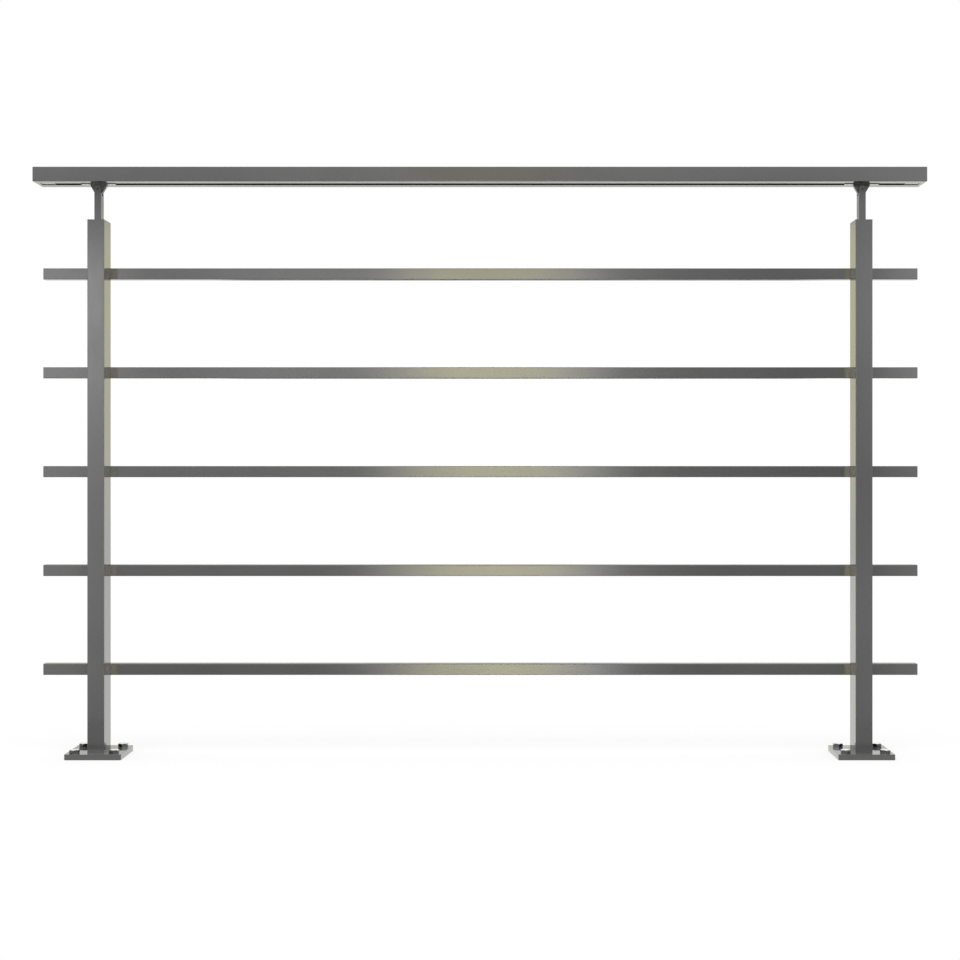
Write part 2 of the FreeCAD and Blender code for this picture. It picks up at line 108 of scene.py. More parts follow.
# Powder coat: pattern sizes in millimetres, and roughness
COAT_GREY = "#585858"
COAT_RUBBED = "#8a8986"
COAT_IOR = 1.5
COAT_ROUGHNESS = 0.12
PLATE_ROUGHNESS = 0.08
STREAK_SHINE = 0.02
STREAK_DULLNESS = 0.03
RAIL_TOP_DUST = 0.35
BAR_TOP_DUST = 0.22
DRIFT_SIZE = 140
SPECKLE_SIZE = 0.6
RUB_SIZE = 9
STREAK_SIZE = 1.6
STREAK_SQUEEZE = 0.02
HANDLING_SIZE = 60
PEEL_SIZE = 2.2
PEEL_DEPTH = 0.02
THIN_FILM_REACH = 1.0
EDGE_ROUNDING = 0.2

# Stainless steel: pattern sizes in millimetres; the two dark colours are a painted shade on flats and socket
# walls
STEEL_BRIGHT = "#cfd1d3"
STEEL_BRIGHTEST = "#e6e7e8"
STEEL_PAINTED_SHADE = "#3c3d3f"
STEEL_LIGHTER_PAINTED_SHADE = "#5e5f61"
BLOTCH_SIZE = 3
SCRATCH_SIZE = 0.25
SCRATCH_DEPTH = 0.02
SCRATCH_TURN = (0.5, 0.3, 0.9)
SCRATCH_SQUEEZE = (1.0, 0.12, 1.0)

# Most of a noise's values lie in this range
NOISE_SPREAD = {"From Min": 0.3, "From Max": 0.7}

PLAIN_WHITE = (1, 1, 1, 1)

# Floor, in metres: its edges, then where it grows white for the camera, and how bright reflections show it.
# It whitens with the distance from the railing's middle, in which a length along x counts for a quarter.
FLOOR_LEFT = -4.5
FLOOR_RIGHT = 5.9
FLOOR_FRONT = -0.5
FLOOR_BACK = 5.8
FLOOR_PAINT = "#f8f8f8"
FLOOR_MIRRORED = "#fffffa"
FLOOR_BOUNCE = 0.35
LENGTH_COUNTS = 0.25
WHITENS = {"From Min": 0.17, "From Max": 0.44, "To Min": 0.72, "To Max": 1.0}
BRIGHT_BEHIND_STRIP = {"From Min": -0.118, "From Max": -0.100, "To Min": 0.03, "To Max": 1.45}
BRIGHT_BEFORE_STRIP = {"From Min": -0.150, "From Max": -0.175, "To Min": 0.0, "To Max": 0.8}
DIMS_FAR_OFF = {"From Min": 0.3, "From Max": 5.5, "To Min": 0.94, "To Max": 0.86}

# Far wall, as polished faces show it: places are the x or z of the direction
FAR_WALL_TINT = "#fffffa"
FAR_WALL_WARM_TINT = "#fffbc8"
FAR_WALL_LEVEL = {"From Min": -0.3, "From Max": 0.3, "To Min": 1.14, "To Max": 1.32}
WARM_BAND = (-0.08, 0.08, 0.133, 0.137)
WARM_ON_LEFT = (-0.4, -0.3, -0.185, -0.165)
WARM_ON_RIGHT = (0.205, 0.225, 0.3, 0.4)
ROOM_LIGHT = {"From Min": -0.3, "From Max": 0.3, "To Min": 0.36, "To Max": 1.15}

# Darker patches of the far wall: depth, then where each starts and is full, across and upwards
ALL_ACROSS = (-2.0, -1.5, 1.5, 2.0)
FAR_WALL_PATCHES = {
    "far_floor": (0.12, ALL_ACROSS, (-1.2, -1.1, -0.13, -0.10)),
    "horizon": (0.85, (-0.175, -0.15, 0.16, 0.19), (-0.132, -0.118, -0.040, -0.020)),
    "dark_strip": (0.38, ALL_ACROSS, (0.133, 0.139, 0.152, 0.158)),
    "upper_wall": (0.12, ALL_ACROSS, (0.152, 0.158, 1.1, 1.2)),
}

# Wall behind the camera, in metres
WALL_LEFT = -6.0
WALL_RIGHT = 7.5
WALL_LOW = -2.4
WALL_HIGH = 3.1
WALL_BACK = -3.5
WALL_LEVEL = 0.3
WALL_WARM_TINT = "#fff9d0"
WALL_WARMTH = (0.15, 0.5, 0.8, 1.1)

# Its lit windows: level, then where each starts and is full, across and upwards
FROM_LEFT_END = (-6.0, -5.0)
TO_RIGHT_END = (6.5, 7.5)
WINDOWS = {
    "softbox": (8.0, (0.06, 0.56, 0.82, 1.26), (-0.55, -0.38, 1.15, 1.6)),
    "softbox_top": (1.1, (-0.6, -0.2, 0.3, 0.8), (0.55, 0.85, 1.3, 1.6)),
    "softbox_low": (0.9, (0.45, 0.75, 1.0, 1.4), (-0.55, -0.38, -0.1, 0.2)),
    "softbox_end": (0.65, (0.9, 1.2, 1.4, 1.9), (0.0, 1.0, 1.3, 1.6)),
    "left_glow": (1.3, (*FROM_LEFT_END, -0.1, 0.3), (-0.3, 0.9, 1.33, 1.48)),
    "left_far": (1.5, (*FROM_LEFT_END, -1.15, -0.95), (0.3, 1.1, 1.33, 1.48)),
    "left_post": (3.2, (-0.96, -0.90, -0.87, -0.72), (0.45, 1.15, 1.25, 1.48)),
    "left_side": (1.2, (*FROM_LEFT_END, -0.86, -0.72), (-0.55, -0.4, 1.33, 1.48)),
    "low_glow": (0.35, (*FROM_LEFT_END, *TO_RIGHT_END), (-0.55, -0.4, 0.0, 0.4)),
    "right_side": (1.3, (2.0, 2.45, *TO_RIGHT_END), (-0.55, -0.4, 1.3, 1.6)),
    "right_bright": (2.2, (2.0, 2.45, *TO_RIGHT_END), (0.3, 1.0, 1.45, 1.7)),
    "right_post": (0.7, (1.98, 2.06, 2.12, 2.16), (-0.55, -0.4, 1.3, 1.6)),
    "right_post_top": (0.75, (1.96, 2.04, 2.14, 2.2), (0.7, 1.15, 1.4, 1.65)),
    "upper_strip": (1.4, (*FROM_LEFT_END, *TO_RIGHT_END), (1.5, 1.66, 3.0, 3.1)),
}

# Lamp, in metres and watts
LAMP_WIDTH = 3.0
LAMP_DEPTH = 1.6
LAMP_POWER = 34.0
LAMP_PLACE = (0.68, -1.6, 2.6)
LAMP_TILT = math.radians(37)

# Camera, read from the photograph's perspective: metres, and the lens in millimetres
CAMERA_PLACE = (0.7323, -3.017, 0.527)
CAMERA_LENS = 63.4
CAMERA_SHIFT = (-0.0307, -0.0208)
CAMERA_TILT = math.radians(90)

dice = random.Random(SEED)


# Colour and nodes

def colour(hex_code):
    """Turn an sRGB hex colour into the linear colour that a shader takes."""
    channels = [int(hex_code[place:place + 2], 16) / 255 for place in (1, 3, 5)]
    linear = [c / 12.92 if c <= 0.04045 else ((c + 0.055) / 1.055) ** 2.4 for c in channels]
    return (*linear, 1.0)


def add_node(tree, kind, settings=None, values=None, links=None):
    """Add a node with its settings, the values of its sockets and the links into them."""
    node = tree.nodes.new(kind)
    for name, setting in (settings or {}).items():
        setattr(node, name, setting)
    for name, value in (values or {}).items():
        node.inputs[name].default_value = value
    for name, source in (links or {}).items():
        tree.links.new(source, node.inputs[name])
    return node


def new_material(name):
    """Start a material and give it with its empty tree."""
    material = bpy.data.materials.new(name)
    material.use_nodes = True
    material.node_tree.nodes.clear()
    return material, material.node_tree


def per_metre(size_in_mm):
    """The noise scale at which one bump or patch is about this many millimetres across."""
    return 1000.0 / size_in_mm


# Finishes

def powder_coat(name, grain_axis, base_roughness=COAT_ROUGHNESS, dust=0.0):
    """Powder-coated aluminium: a baked polyester film about 0.08 mm thick over the metal.

    It gives the eye a neutral grey body under a clear, fairly sharp reflection. The film flows before it
    sets, which leaves a faint orange peel about 2 mm across, and thins over sharp edges, which lightens them.
    Faces that look up gather fine dust and are wiped, which dulls them: dust is their added roughness.
    """
    material, tree = new_material(name)
    place = add_node(tree, "ShaderNodeTexCoord").outputs["Object"]

    # Batches of powder drift slowly in tone, over a hand's width
    drift = add_node(tree, "ShaderNodeTexNoise", values={"Scale": per_metre(DRIFT_SIZE), "Detail": 2.0},
                     links={"Vector": place})
    drift_share = add_node(tree, "ShaderNodeMapRange",
                           values={**NOISE_SPREAD, "To Min": 0.94, "To Max": 1.06},
                           links={"Value": drift.outputs["Fac"]})
    # Pigment and fine bronze flakes speckle the film; real ones are 0.05 mm, drawn at 0.6 mm to show
    speckle = add_node(tree, "ShaderNodeTexNoise", values={"Scale": per_metre(SPECKLE_SIZE), "Detail": 1.0},
                       links={"Vector": place})
    speckle_share = add_node(tree, "ShaderNodeMapRange",
                             values={"From Min": 0.35, "From Max": 0.75, "To Min": 0.96, "To Max": 1.07},
                             links={"Value": speckle.outputs["Fac"]})
    share = add_node(tree, "ShaderNodeMath", {"operation": "MULTIPLY"},
                     links={0: drift_share.outputs["Result"], 1: speckle_share.outputs["Result"]})
    toned = add_node(tree, "ShaderNodeVectorMath", {"operation": "SCALE"}, {0: colour(COAT_GREY)[:3]},
                     {"Scale": share.outputs["Value"]})

    # The film is thinnest on edges: a wide rounding tells how near an edge is
    edge_normal = add_node(tree, "ShaderNodeBevel", {"samples": 6}, {"Radius": THIN_FILM_REACH * MM})
    face_normal = add_node(tree, "ShaderNodeNewGeometry").outputs["Normal"]
    likeness = add_node(tree, "ShaderNodeVectorMath", {"operation": "DOT_PRODUCT"},
                        links={0: edge_normal.outputs["Normal"], 1: face_normal})
    nearness = add_node(tree, "ShaderNodeMapRange", values={"From Min": 0.985, "From Max": 0.8},
                        links={"Value": likeness.outputs["Value"]})
    rub = add_node(tree, "ShaderNodeTexNoise", values={"Scale": per_metre(RUB_SIZE), "Detail": 5.0},
                   links={"Vector": place})
    rubbed = add_node(tree, "ShaderNodeMapRange", values={"From Min": 0.45, "From Max": 0.75, "To Max": 0.4},
                      links={"Value": rub.outputs["Fac"]})
    wear = add_node(tree, "ShaderNodeMath", {"operation": "MULTIPLY"},
                    links={0: nearness.outputs["Result"], 1: rubbed.outputs["Result"]})
    worn = add_node(tree, "ShaderNodeMix", {"data_type": "RGBA"}, {"B": colour(COAT_RUBBED)},
                    {"Factor": wear.outputs["Value"], "A": toned.outputs["Vector"]})

    # Handling leaves broad, barely visible dull patches; the grain of the metal shows as faint streaks
    squeeze = [1.0, 1.0, 1.0]
    squeeze["XYZ".index(grain_axis)] = STREAK_SQUEEZE
    streak_place = add_node(tree, "ShaderNodeMapping", values={"Scale": squeeze}, links={"Vector": place})
    streak = add_node(tree, "ShaderNodeTexNoise", values={"Scale": per_metre(STREAK_SIZE), "Detail": 3.0},
                      links={"Vector": streak_place.outputs["Vector"]})
    handled = add_node(tree, "ShaderNodeTexNoise", values={"Scale": per_metre(HANDLING_SIZE), "Detail": 4.0},
                       links={"Vector": place})
    dullness = add_node(tree, "ShaderNodeMath", {"operation": "MULTIPLY"},
                        links={0: streak.outputs["Fac"], 1: handled.outputs["Fac"]})
    clean = add_node(tree, "ShaderNodeMapRange",
                     values={"From Min": 0.1, "From Max": 0.4, "To Min": base_roughness - STREAK_SHINE,
                             "To Max": base_roughness + STREAK_DULLNESS},
                     links={"Value": dullness.outputs["Value"]})

    # Dust settles on faces that look up, and less where hands have wiped it
    upwards = add_node(tree, "ShaderNodeSeparateXYZ", links={"Vector": face_normal}).outputs["Z"]
    settled = add_node(tree, "ShaderNodeMapRange", values={"From Min": 0.7, "From Max": 0.95, "To Max": dust},
                       links={"Value": upwards})
    patchy = add_node(tree, "ShaderNodeMapRange", values={**NOISE_SPREAD, "To Min": 0.8},
                      links={"Value": handled.outputs["Fac"]})
    roughness = add_node(tree, "ShaderNodeMath", {"operation": "MULTIPLY_ADD"},
                         links={0: settled.outputs["Result"], 1: patchy.outputs["Result"],
                                2: clean.outputs["Result"]})

    # Orange peel, and the small rounding of every edge
    peel = add_node(tree, "ShaderNodeTexNoise", values={"Scale": per_metre(PEEL_SIZE), "Detail": 1.5},
                    links={"Vector": place})
    rounded = add_node(tree, "ShaderNodeBevel", {"samples": 6}, {"Radius": EDGE_ROUNDING * MM})
    skin = add_node(tree, "ShaderNodeBump", values={"Strength": 0.12, "Distance": PEEL_DEPTH * MM},
                    links={"Height": peel.outputs["Fac"], "Normal": rounded.outputs["Normal"]})

    paint = add_node(tree, "ShaderNodeBsdfPrincipled", values={"IOR": COAT_IOR, "Metallic": 0.0},
                     links={"Base Color": worn.outputs["Result"], "Roughness": roughness.outputs["Value"],
                            "Normal": skin.outputs["Normal"]})
    add_node(tree, "ShaderNodeOutputMaterial", links={"Surface": paint.outputs["BSDF"]})
    return material


def cold_headed_steel(name, face_axis):
    """Stainless steel of bolts and screws, cold headed and then tumbled.

    It gives the eye a bright metal on the faces, with fine random scratches from the tumbling. The flats and
    the socket walls, which look away from the face's axis, get a painted shade: a darker colour that stands
    for the dark surroundings that they reflect.
    """
    material, tree = new_material(name)
    place = add_node(tree, "ShaderNodeTexCoord").outputs["Object"]

    # Tumbling brightens the steel unevenly, in blotches a few millimetres wide
    blotch = add_node(tree, "ShaderNodeTexNoise", values={"Scale": per_metre(BLOTCH_SIZE), "Detail": 4.0},
                      links={"Vector": place})
    bright = add_node(tree, "ShaderNodeMix", {"data_type": "RGBA"},
                      {"A": colour(STEEL_BRIGHT), "B": colour(STEEL_BRIGHTEST)},
                      {"Factor": blotch.outputs["Fac"]})
    # Painted shade for the flats and socket walls, darker or lighter in the same blotches
    painted_shade = add_node(tree, "ShaderNodeMix", {"data_type": "RGBA"},
                    {"A": colour(STEEL_PAINTED_SHADE), "B": colour(STEEL_LIGHTER_PAINTED_SHADE)},
                    {"Factor": blotch.outputs["Fac"]})
    normal = add_node(tree, "ShaderNodeNewGeometry").outputs["Normal"]
    parts = add_node(tree, "ShaderNodeSeparateXYZ", links={"Vector": normal})
    facing = add_node(tree, "ShaderNodeMath", {"operation": "ABSOLUTE"}, links={0: parts.outputs[face_axis]})
    # Painted shade: the bright metal gives way to the dark colour as the face turns from the axis
    unshaded_share = add_node(tree, "ShaderNodeMapRange", {"interpolation_type": "SMOOTHSTEP"},
                        {"From Min": 0.3, "From Max": 0.85}, {"Value": facing.outputs["Value"]})
    tint = add_node(tree, "ShaderNodeMix", {"data_type": "RGBA"},
                    links={"Factor": unshaded_share.outputs["Result"], "A": painted_shade.outputs["Result"],
                           "B": bright.outputs["Result"]})

    # Tumbling scratches are hair fine; drawn 0.25 mm wide so that a close view shows them
    scratch_place = add_node(tree, "ShaderNodeMapping",
                             values={"Rotation": SCRATCH_TURN, "Scale": SCRATCH_SQUEEZE},
                             links={"Vector": place})
    scratch = add_node(tree, "ShaderNodeTexNoise", values={"Scale": per_metre(SCRATCH_SIZE), "Detail": 3.0},
                       links={"Vector": scratch_place.outputs["Vector"]})
    roughness = add_node(tree, "ShaderNodeMapRange", values={**NOISE_SPREAD, "To Min": 0.1, "To Max": 0.24},
                         links={"Value": scratch.outputs["Fac"]})
    fine = add_node(tree, "ShaderNodeBump", values={"Strength": 0.15, "Distance": SCRATCH_DEPTH * MM},
                    links={"Height": scratch.outputs["Fac"]})
    steel = add_node(tree, "ShaderNodeBsdfPrincipled", values={"Metallic": 1.0},
                     links={"Base Color": tint.outputs["Result"], "Roughness": roughness.outputs["Result"],
                            "Normal": fine.outputs["Normal"]})
    add_node(tree, "ShaderNodeOutputMaterial", links={"Surface": steel.outputs["BSDF"]})
    return material


def dress(nodes, finish):
    """Give CAD nodes their finish, in place of the plain one that they come with."""
    for node in nodes:
        for slot in frame["nodes"][node].material_slots:
            slot.material = finish


# Shapes of the fasteners

def hexagon(across_flats):
    """The radius of a hexagon as a function of the direction."""
    half = SIXTH_TURN / 2
    return lambda angle: across_flats / 2 / math.cos((angle + half) % SIXTH_TURN - half)


def circle(diameter):
    """The radius of a circle as a function of the direction."""
    return lambda angle: diameter / 2


def ringed_solid(name, rings):
    """Join rings of points round the z axis, from the first to the last, and fill both ends.

    A ring is a radius as a function of the direction, and a height, or the height as a function of the
    radius. Both are in millimetres.
    """
    shape = bmesh.new()
    loops = []
    for radius_at, height_at in rings:
        loop = []
        for step in range(ROUND_STEPS):
            angle = 2 * math.pi * step / ROUND_STEPS
            radius = radius_at(angle)
            height = height_at(radius) if callable(height_at) else height_at
            point = (radius * math.cos(angle) * MM, radius * math.sin(angle) * MM, height * MM)
            loop.append(shape.verts.new(point))
        loops.append(loop)
    for lower, upper in zip(loops, loops[1:]):
        for step in range(ROUND_STEPS):
            following = (step + 1) % ROUND_STEPS
            shape.faces.new((lower[step], lower[following], upper[following], upper[step]))
    shape.faces.new(list(reversed(loops[0])))
    shape.faces.new(loops[-1])
    bmesh.ops.recalc_face_normals(shape, faces=shape.faces)
    mesh = bpy.data.meshes.new(name)
    shape.to_mesh(mesh)
    shape.free()
    mesh.shade_smooth()
    mesh.set_sharp_from_angle(angle=SHARP_EDGE)
    piece = bpy.data.objects.new(name, mesh)
    bpy.context.scene.collection.objects.link(piece)
    return piece


def socket_rings(flats, face, mouth, wall_depth, depth):
    """The rings of a hexagon socket, from its mouth in a screw's face down to the cone at its bottom."""
    edge_share, lead_share, lead_depth = mouth
    return [
        (circle(flats * edge_share), face),
        (hexagon(flats * lead_share), face),
        (hexagon(flats), face - lead_depth),
        (hexagon(flats), face - wall_depth),
        (circle(flats * SOCKET_CONE_SHARE), face - depth),
    ]


def anchor_bolt(name, plate_thickness):
    """A hexagon bolt, its head resting at z = 0 on the plate and its shank filling the plate's hole."""
    crown = ANCHOR_FLATS * ANCHOR_CROWN_SHARE
    collar = ANCHOR_FLATS * ANCHOR_COLLAR_SHARE
    foot = -plate_thickness + ANCHOR_SHANK_LIFT

    def chamfer_at(radius):
        return ANCHOR_HEAD_HEIGHT - (radius - crown / 2) * math.tan(ANCHOR_HEAD_CHAMFER)

    return ringed_solid(name, [
        (circle(ANCHOR_SHANK - 2 * ANCHOR_SHANK_CHAMFER), foot),
        (circle(ANCHOR_SHANK), foot + ANCHOR_SHANK_CHAMFER),
        (circle(ANCHOR_SHANK), 0.0),
        (circle(collar), 0.0),
        (circle(collar), ANCHOR_COLLAR_HEIGHT),
        (hexagon(ANCHOR_FLATS), ANCHOR_COLLAR_HEIGHT),
        (hexagon(ANCHOR_FLATS), chamfer_at),
        (circle(crown), ANCHOR_HEAD_HEIGHT),
        (circle(crown * ANCHOR_TOP_SHARE), ANCHOR_HEAD_HEIGHT),
    ])


def bar_screw(name, length):
    """A low round-headed screw with a hexagon socket, its head resting at z = 0."""
    rings = [
        (circle(BAR_SCREW_SHANK), -length),
        (circle(BAR_SCREW_SHANK), 0.0),
        (circle(BAR_SCREW_HEAD), 0.0),
    ]
    for degrees in BAR_SCREW_ARC_DEGREES:
        turn = math.radians(degrees)
        rise = BAR_SCREW_RIM_SHARE + (1 - BAR_SCREW_RIM_SHARE) * math.sin(turn)
        rings.append((circle(BAR_SCREW_HEAD * math.cos(turn)), BAR_SCREW_HEAD_HEIGHT * rise))
    rings += socket_rings(BAR_SOCKET, BAR_SCREW_HEAD_HEIGHT * BAR_SCREW_FACE_SHARE, BAR_SOCKET_MOUTH,
                          BAR_SCREW_HEAD_HEIGHT * BAR_SOCKET_WALL_SHARE,
                          BAR_SCREW_HEAD_HEIGHT * BAR_SOCKET_DEPTH_SHARE)
    return ringed_solid(name, rings)


def key_screw(name, length):
    """A flat countersunk screw with a hexagon socket, its face at z = 0."""
    rings = [
        (circle(KEY_SCREW_SHANK), -length),
        (circle(KEY_SCREW_SHANK), -KEY_SCREW_SINK - KEY_SCREW_LAND),
        (circle(KEY_SCREW_HEAD), -KEY_SCREW_LAND),
        (circle(KEY_SCREW_HEAD), -KEY_SCREW_EDGE_DEPTH),
        (circle(KEY_SCREW_HEAD - KEY_SCREW_EDGE_WIDTH), 0.0),
    ]
    rings += socket_rings(KEY_SOCKET, 0.0, KEY_SOCKET_MOUTH, KEY_SCREW_SINK * SOCKET_WALL_SHARE,
                          KEY_SCREW_SINK)
    return ringed_solid(name, rings)


def pivot_screw(name, length):
    """A headless screw with a hexagon socket, sunk below z = 0."""
    face = -PIVOT_SINK
    rings = [
        (circle(PIVOT_SHANK), -length),
        (circle(PIVOT_SHANK), face - PIVOT_EDGE_DEPTH),
        (circle(PIVOT_SHANK - PIVOT_EDGE_WIDTH), face),
    ]
    rings += socket_rings(PIVOT_SOCKET, face, PIVOT_SOCKET_MOUTH, PIVOT_SOCKET_DEPTH * SOCKET_WALL_SHARE,
                          PIVOT_SOCKET_DEPTH)
    return ringed_solid(name, rings)


# Fasteners in their holes

def middle(node):
    """The middle of a node's box."""
    low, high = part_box(node)
    return (low + high) / 2


def fasten(piece, place, pointing, finish, turn):
    """Set a fastener in its hole, its head pointing a given way, and give it its finish."""
    towards = Vector(pointing).to_track_quat("Z", "Y").to_matrix().to_4x4()
    piece.data.transform(Matrix.Translation(place) @ towards @ Matrix.Rotation(turn, 4, "Z"))
    piece.data.materials.append(finish)
    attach(piece, "root")


def add_anchor_bolts(finish):
    """Four bolts on each plate, each turned as it happened to stop."""
    mounts = {mount["name"]: mount for mount in frame["record"]["mounts"]}
    for side in SIDES:
        pattern = mounts[side + "_anchor_bolts"]
        reach_x = pattern["dims"]["spacing_x_mm"] * MM / 2
        reach_y = pattern["dims"]["spacing_y_mm"] * MM / 2
        low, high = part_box("base_plate_" + side)
        thickness = (high.z - low.z) / MM
        corners = [(-reach_x, -reach_y), (reach_x, -reach_y), (reach_x, reach_y), (-reach_x, reach_y)]
        for number, (along, across) in enumerate(corners, start=1):
            bolt = anchor_bolt("anchor_bolt_%s_%d" % (side, number), thickness)
            place = Vector((pattern["pos_m"][0] + along, pattern["pos_m"][1] + across, high.z))
            fasten(bolt, place, (0, 0, 1), finish, dice.uniform(-ANCHOR_TURN, ANCHOR_TURN))


def add_key_screws(finish):
    """Two countersunk screws in each saddle plate and one in each end lug, all seen from below."""
    for side in SIDES:
        reach = KEY_SCREW_SPACING * MM / 2
        places = [("saddle_plate_" + side, -reach), ("saddle_plate_" + side, reach), ("end_lug_" + side, 0.0)]
        for number, (node, along) in enumerate(places, start=1):
            low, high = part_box(node)
            length = (high.z - low.z) / MM - KEY_SCREW_SHORTER
            screw = key_screw("key_screw_%s_%d" % (side, number), length)
            place = Vector((middle(node).x + along, 0.0, low.z + KEY_SCREW_INSET * MM))
            fasten(screw, place, (0, 0, -1), finish, dice.uniform(0, SIXTH_TURN))


def add_bar_screws(finish):
    """One round-headed screw through each crossbar into each post, from behind."""
    for number in BARS:
        low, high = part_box("crossbar_%d" % number)
        length = (high.y - low.y) / MM + BAR_SCREW_PAST_BAR
        for side in SIDES:
            screw = bar_screw("bar_screw_%s_%d" % (side, number), length)
            place = Vector((middle("post_" + side).x, high.y, (low.z + high.z) / 2))
            fasten(screw, place, (0, 1, 0), finish, dice.uniform(0, SIXTH_TURN))


def add_pivot_screws(finish):
    """A grub screw from each face of the fork into the bracket head, sunk in its hole and painted over."""
    for side in SIDES:
        low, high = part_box("stem_" + side)
        height = high.z - (high.x - low.x) / 2
        length = (high.y - low.y) / MM / 2
        for face, across, pointing in (("front", low.y, -1), ("back", high.y, 1)):
            screw = pivot_screw("pivot_screw_%s_%s" % (side, face), length)
            place = Vector((middle("stem_" + side).x, across, height))
            fasten(screw, place, (0, pointing, 0), finish, dice.uniform(0, SIXTH_TURN))


# Studio

def flat_sheet(name, corners, material):
    """A single flat face through four corners, part of the studio and not of the railing."""
    mesh = bpy.data.meshes.new(name)
    mesh.from_pydata(corners, [], [(0, 1, 2, 3)])
    mesh.materials.append(material)
    sheet = bpy.data.objects.new(name, mesh)
    bpy.context.scene.collection.objects.link(sheet)
    return sheet


def lit_between(tree, coordinate, start, full, still_full, end):
    """A share that rises from 0 to 1 between the first two places and falls back between the last two."""
    rise = add_node(tree, "ShaderNodeMapRange", {"interpolation_type": "SMOOTHSTEP"},
                    {"From Min": start, "From Max": full}, {"Value": coordinate})
    fall = add_node(tree, "ShaderNodeMapRange", {"interpolation_type": "SMOOTHSTEP"},
                    {"From Min": end, "From Max": still_full}, {"Value": coordinate})
    return add_node(tree, "ShaderNodeMath", {"operation": "MULTIPLY"},
                    links={0: rise.outputs["Result"], 1: fall.outputs["Result"]}).outputs["Value"]


def lit_patch(tree, parts, across, upwards):
    """A share that is 1 inside a soft-edged rectangle, by the x and z parts of a place or direction."""
    return add_node(tree, "ShaderNodeMath", {"operation": "MULTIPLY"},
                    links={0: lit_between(tree, parts.outputs["X"], *across),
                           1: lit_between(tree, parts.outputs["Z"], *upwards)}).outputs["Value"]


def matt_white_floor():
    """Matt white paint that fades into the white of the background and keeps the railing's soft shadow.

    The light that it throws up is weak, so that undersides stay dark. In gloss it shows white under and
    behind the railing, most of all close by, with a dark strip some 80 mm before the plates.
    """
    material, tree = new_material("matt_white_paint")
    place = add_node(tree, "ShaderNodeTexCoord").outputs["Object"]
    ray = add_node(tree, "ShaderNodeLightPath")

    # What the camera sees: paint with its shadow near the railing, and plain white away from it
    narrowed = add_node(tree, "ShaderNodeVectorMath", {"operation": "MULTIPLY"},
                        {1: (LENGTH_COUNTS, 1.0, 1.0)}, {0: place})
    from_railing = add_node(tree, "ShaderNodeVectorMath", {"operation": "DISTANCE"},
                            {1: (middle("handrail").x * LENGTH_COUNTS, 0, 0)},
                            {0: narrowed.outputs["Vector"]})
    fade = add_node(tree, "ShaderNodeMapRange", {"interpolation_type": "SMOOTHSTEP"}, WHITENS,
                    {"Value": from_railing.outputs["Value"]})
    whiteness = add_node(tree, "ShaderNodeMath", {"operation": "MULTIPLY"},
                         links={0: fade.outputs["Result"], 1: ray.outputs["Is Camera Ray"]})
    matt = add_node(tree, "ShaderNodeBsdfDiffuse", values={"Color": colour(FLOOR_PAINT)})
    white = add_node(tree, "ShaderNodeEmission", values={"Color": PLAIN_WHITE, "Strength": 1.0})
    seen = add_node(tree, "ShaderNodeMixShader",
                    links={0: whiteness.outputs["Value"], 1: matt.outputs["BSDF"],
                           2: white.outputs["Emission"]})

    # What polished faces show of it
    along_y = add_node(tree, "ShaderNodeSeparateXYZ", links={"Vector": place}).outputs["Y"]
    behind = add_node(tree, "ShaderNodeMapRange", {"interpolation_type": "SMOOTHSTEP"}, BRIGHT_BEHIND_STRIP,
                      {"Value": along_y})
    before = add_node(tree, "ShaderNodeMapRange", {"interpolation_type": "SMOOTHSTEP"}, BRIGHT_BEFORE_STRIP,
                      {"Value": along_y})
    far_off = add_node(tree, "ShaderNodeMapRange", values=DIMS_FAR_OFF, links={"Value": along_y})
    near_level = add_node(tree, "ShaderNodeMath", {"operation": "ADD"},
                          links={0: behind.outputs["Result"], 1: before.outputs["Result"]})
    mirrored_level = add_node(tree, "ShaderNodeMath", {"operation": "MULTIPLY"},
                              links={0: near_level.outputs["Value"], 1: far_off.outputs["Result"]})
    mirrored = add_node(tree, "ShaderNodeEmission", values={"Color": colour(FLOOR_MIRRORED)},
                        links={"Strength": mirrored_level.outputs["Value"]})

    # What it throws up on matt faces
    bounce = add_node(tree, "ShaderNodeEmission", values={"Color": PLAIN_WHITE, "Strength": FLOOR_BOUNCE})
    thrown = add_node(tree, "ShaderNodeMixShader",
                      links={0: ray.outputs["Is Diffuse Ray"], 1: seen.outputs["Shader"],
                             2: bounce.outputs["Emission"]})
    both = add_node(tree, "ShaderNodeMixShader",
                    links={0: ray.outputs["Is Glossy Ray"], 1: thrown.outputs["Shader"],
                           2: mirrored.outputs["Emission"]})
    add_node(tree, "ShaderNodeOutputMaterial", links={"Surface": both.outputs["Shader"]})
    return material


def lay_floor():
    """The floor that the railing stands on."""
    flat_sheet("floor", [(FLOOR_LEFT, FLOOR_FRONT, 0), (FLOOR_RIGHT, FLOOR_FRONT, 0),
                         (FLOOR_RIGHT, FLOOR_BACK, 0), (FLOOR_LEFT, FLOOR_BACK, 0)], matt_white_floor())


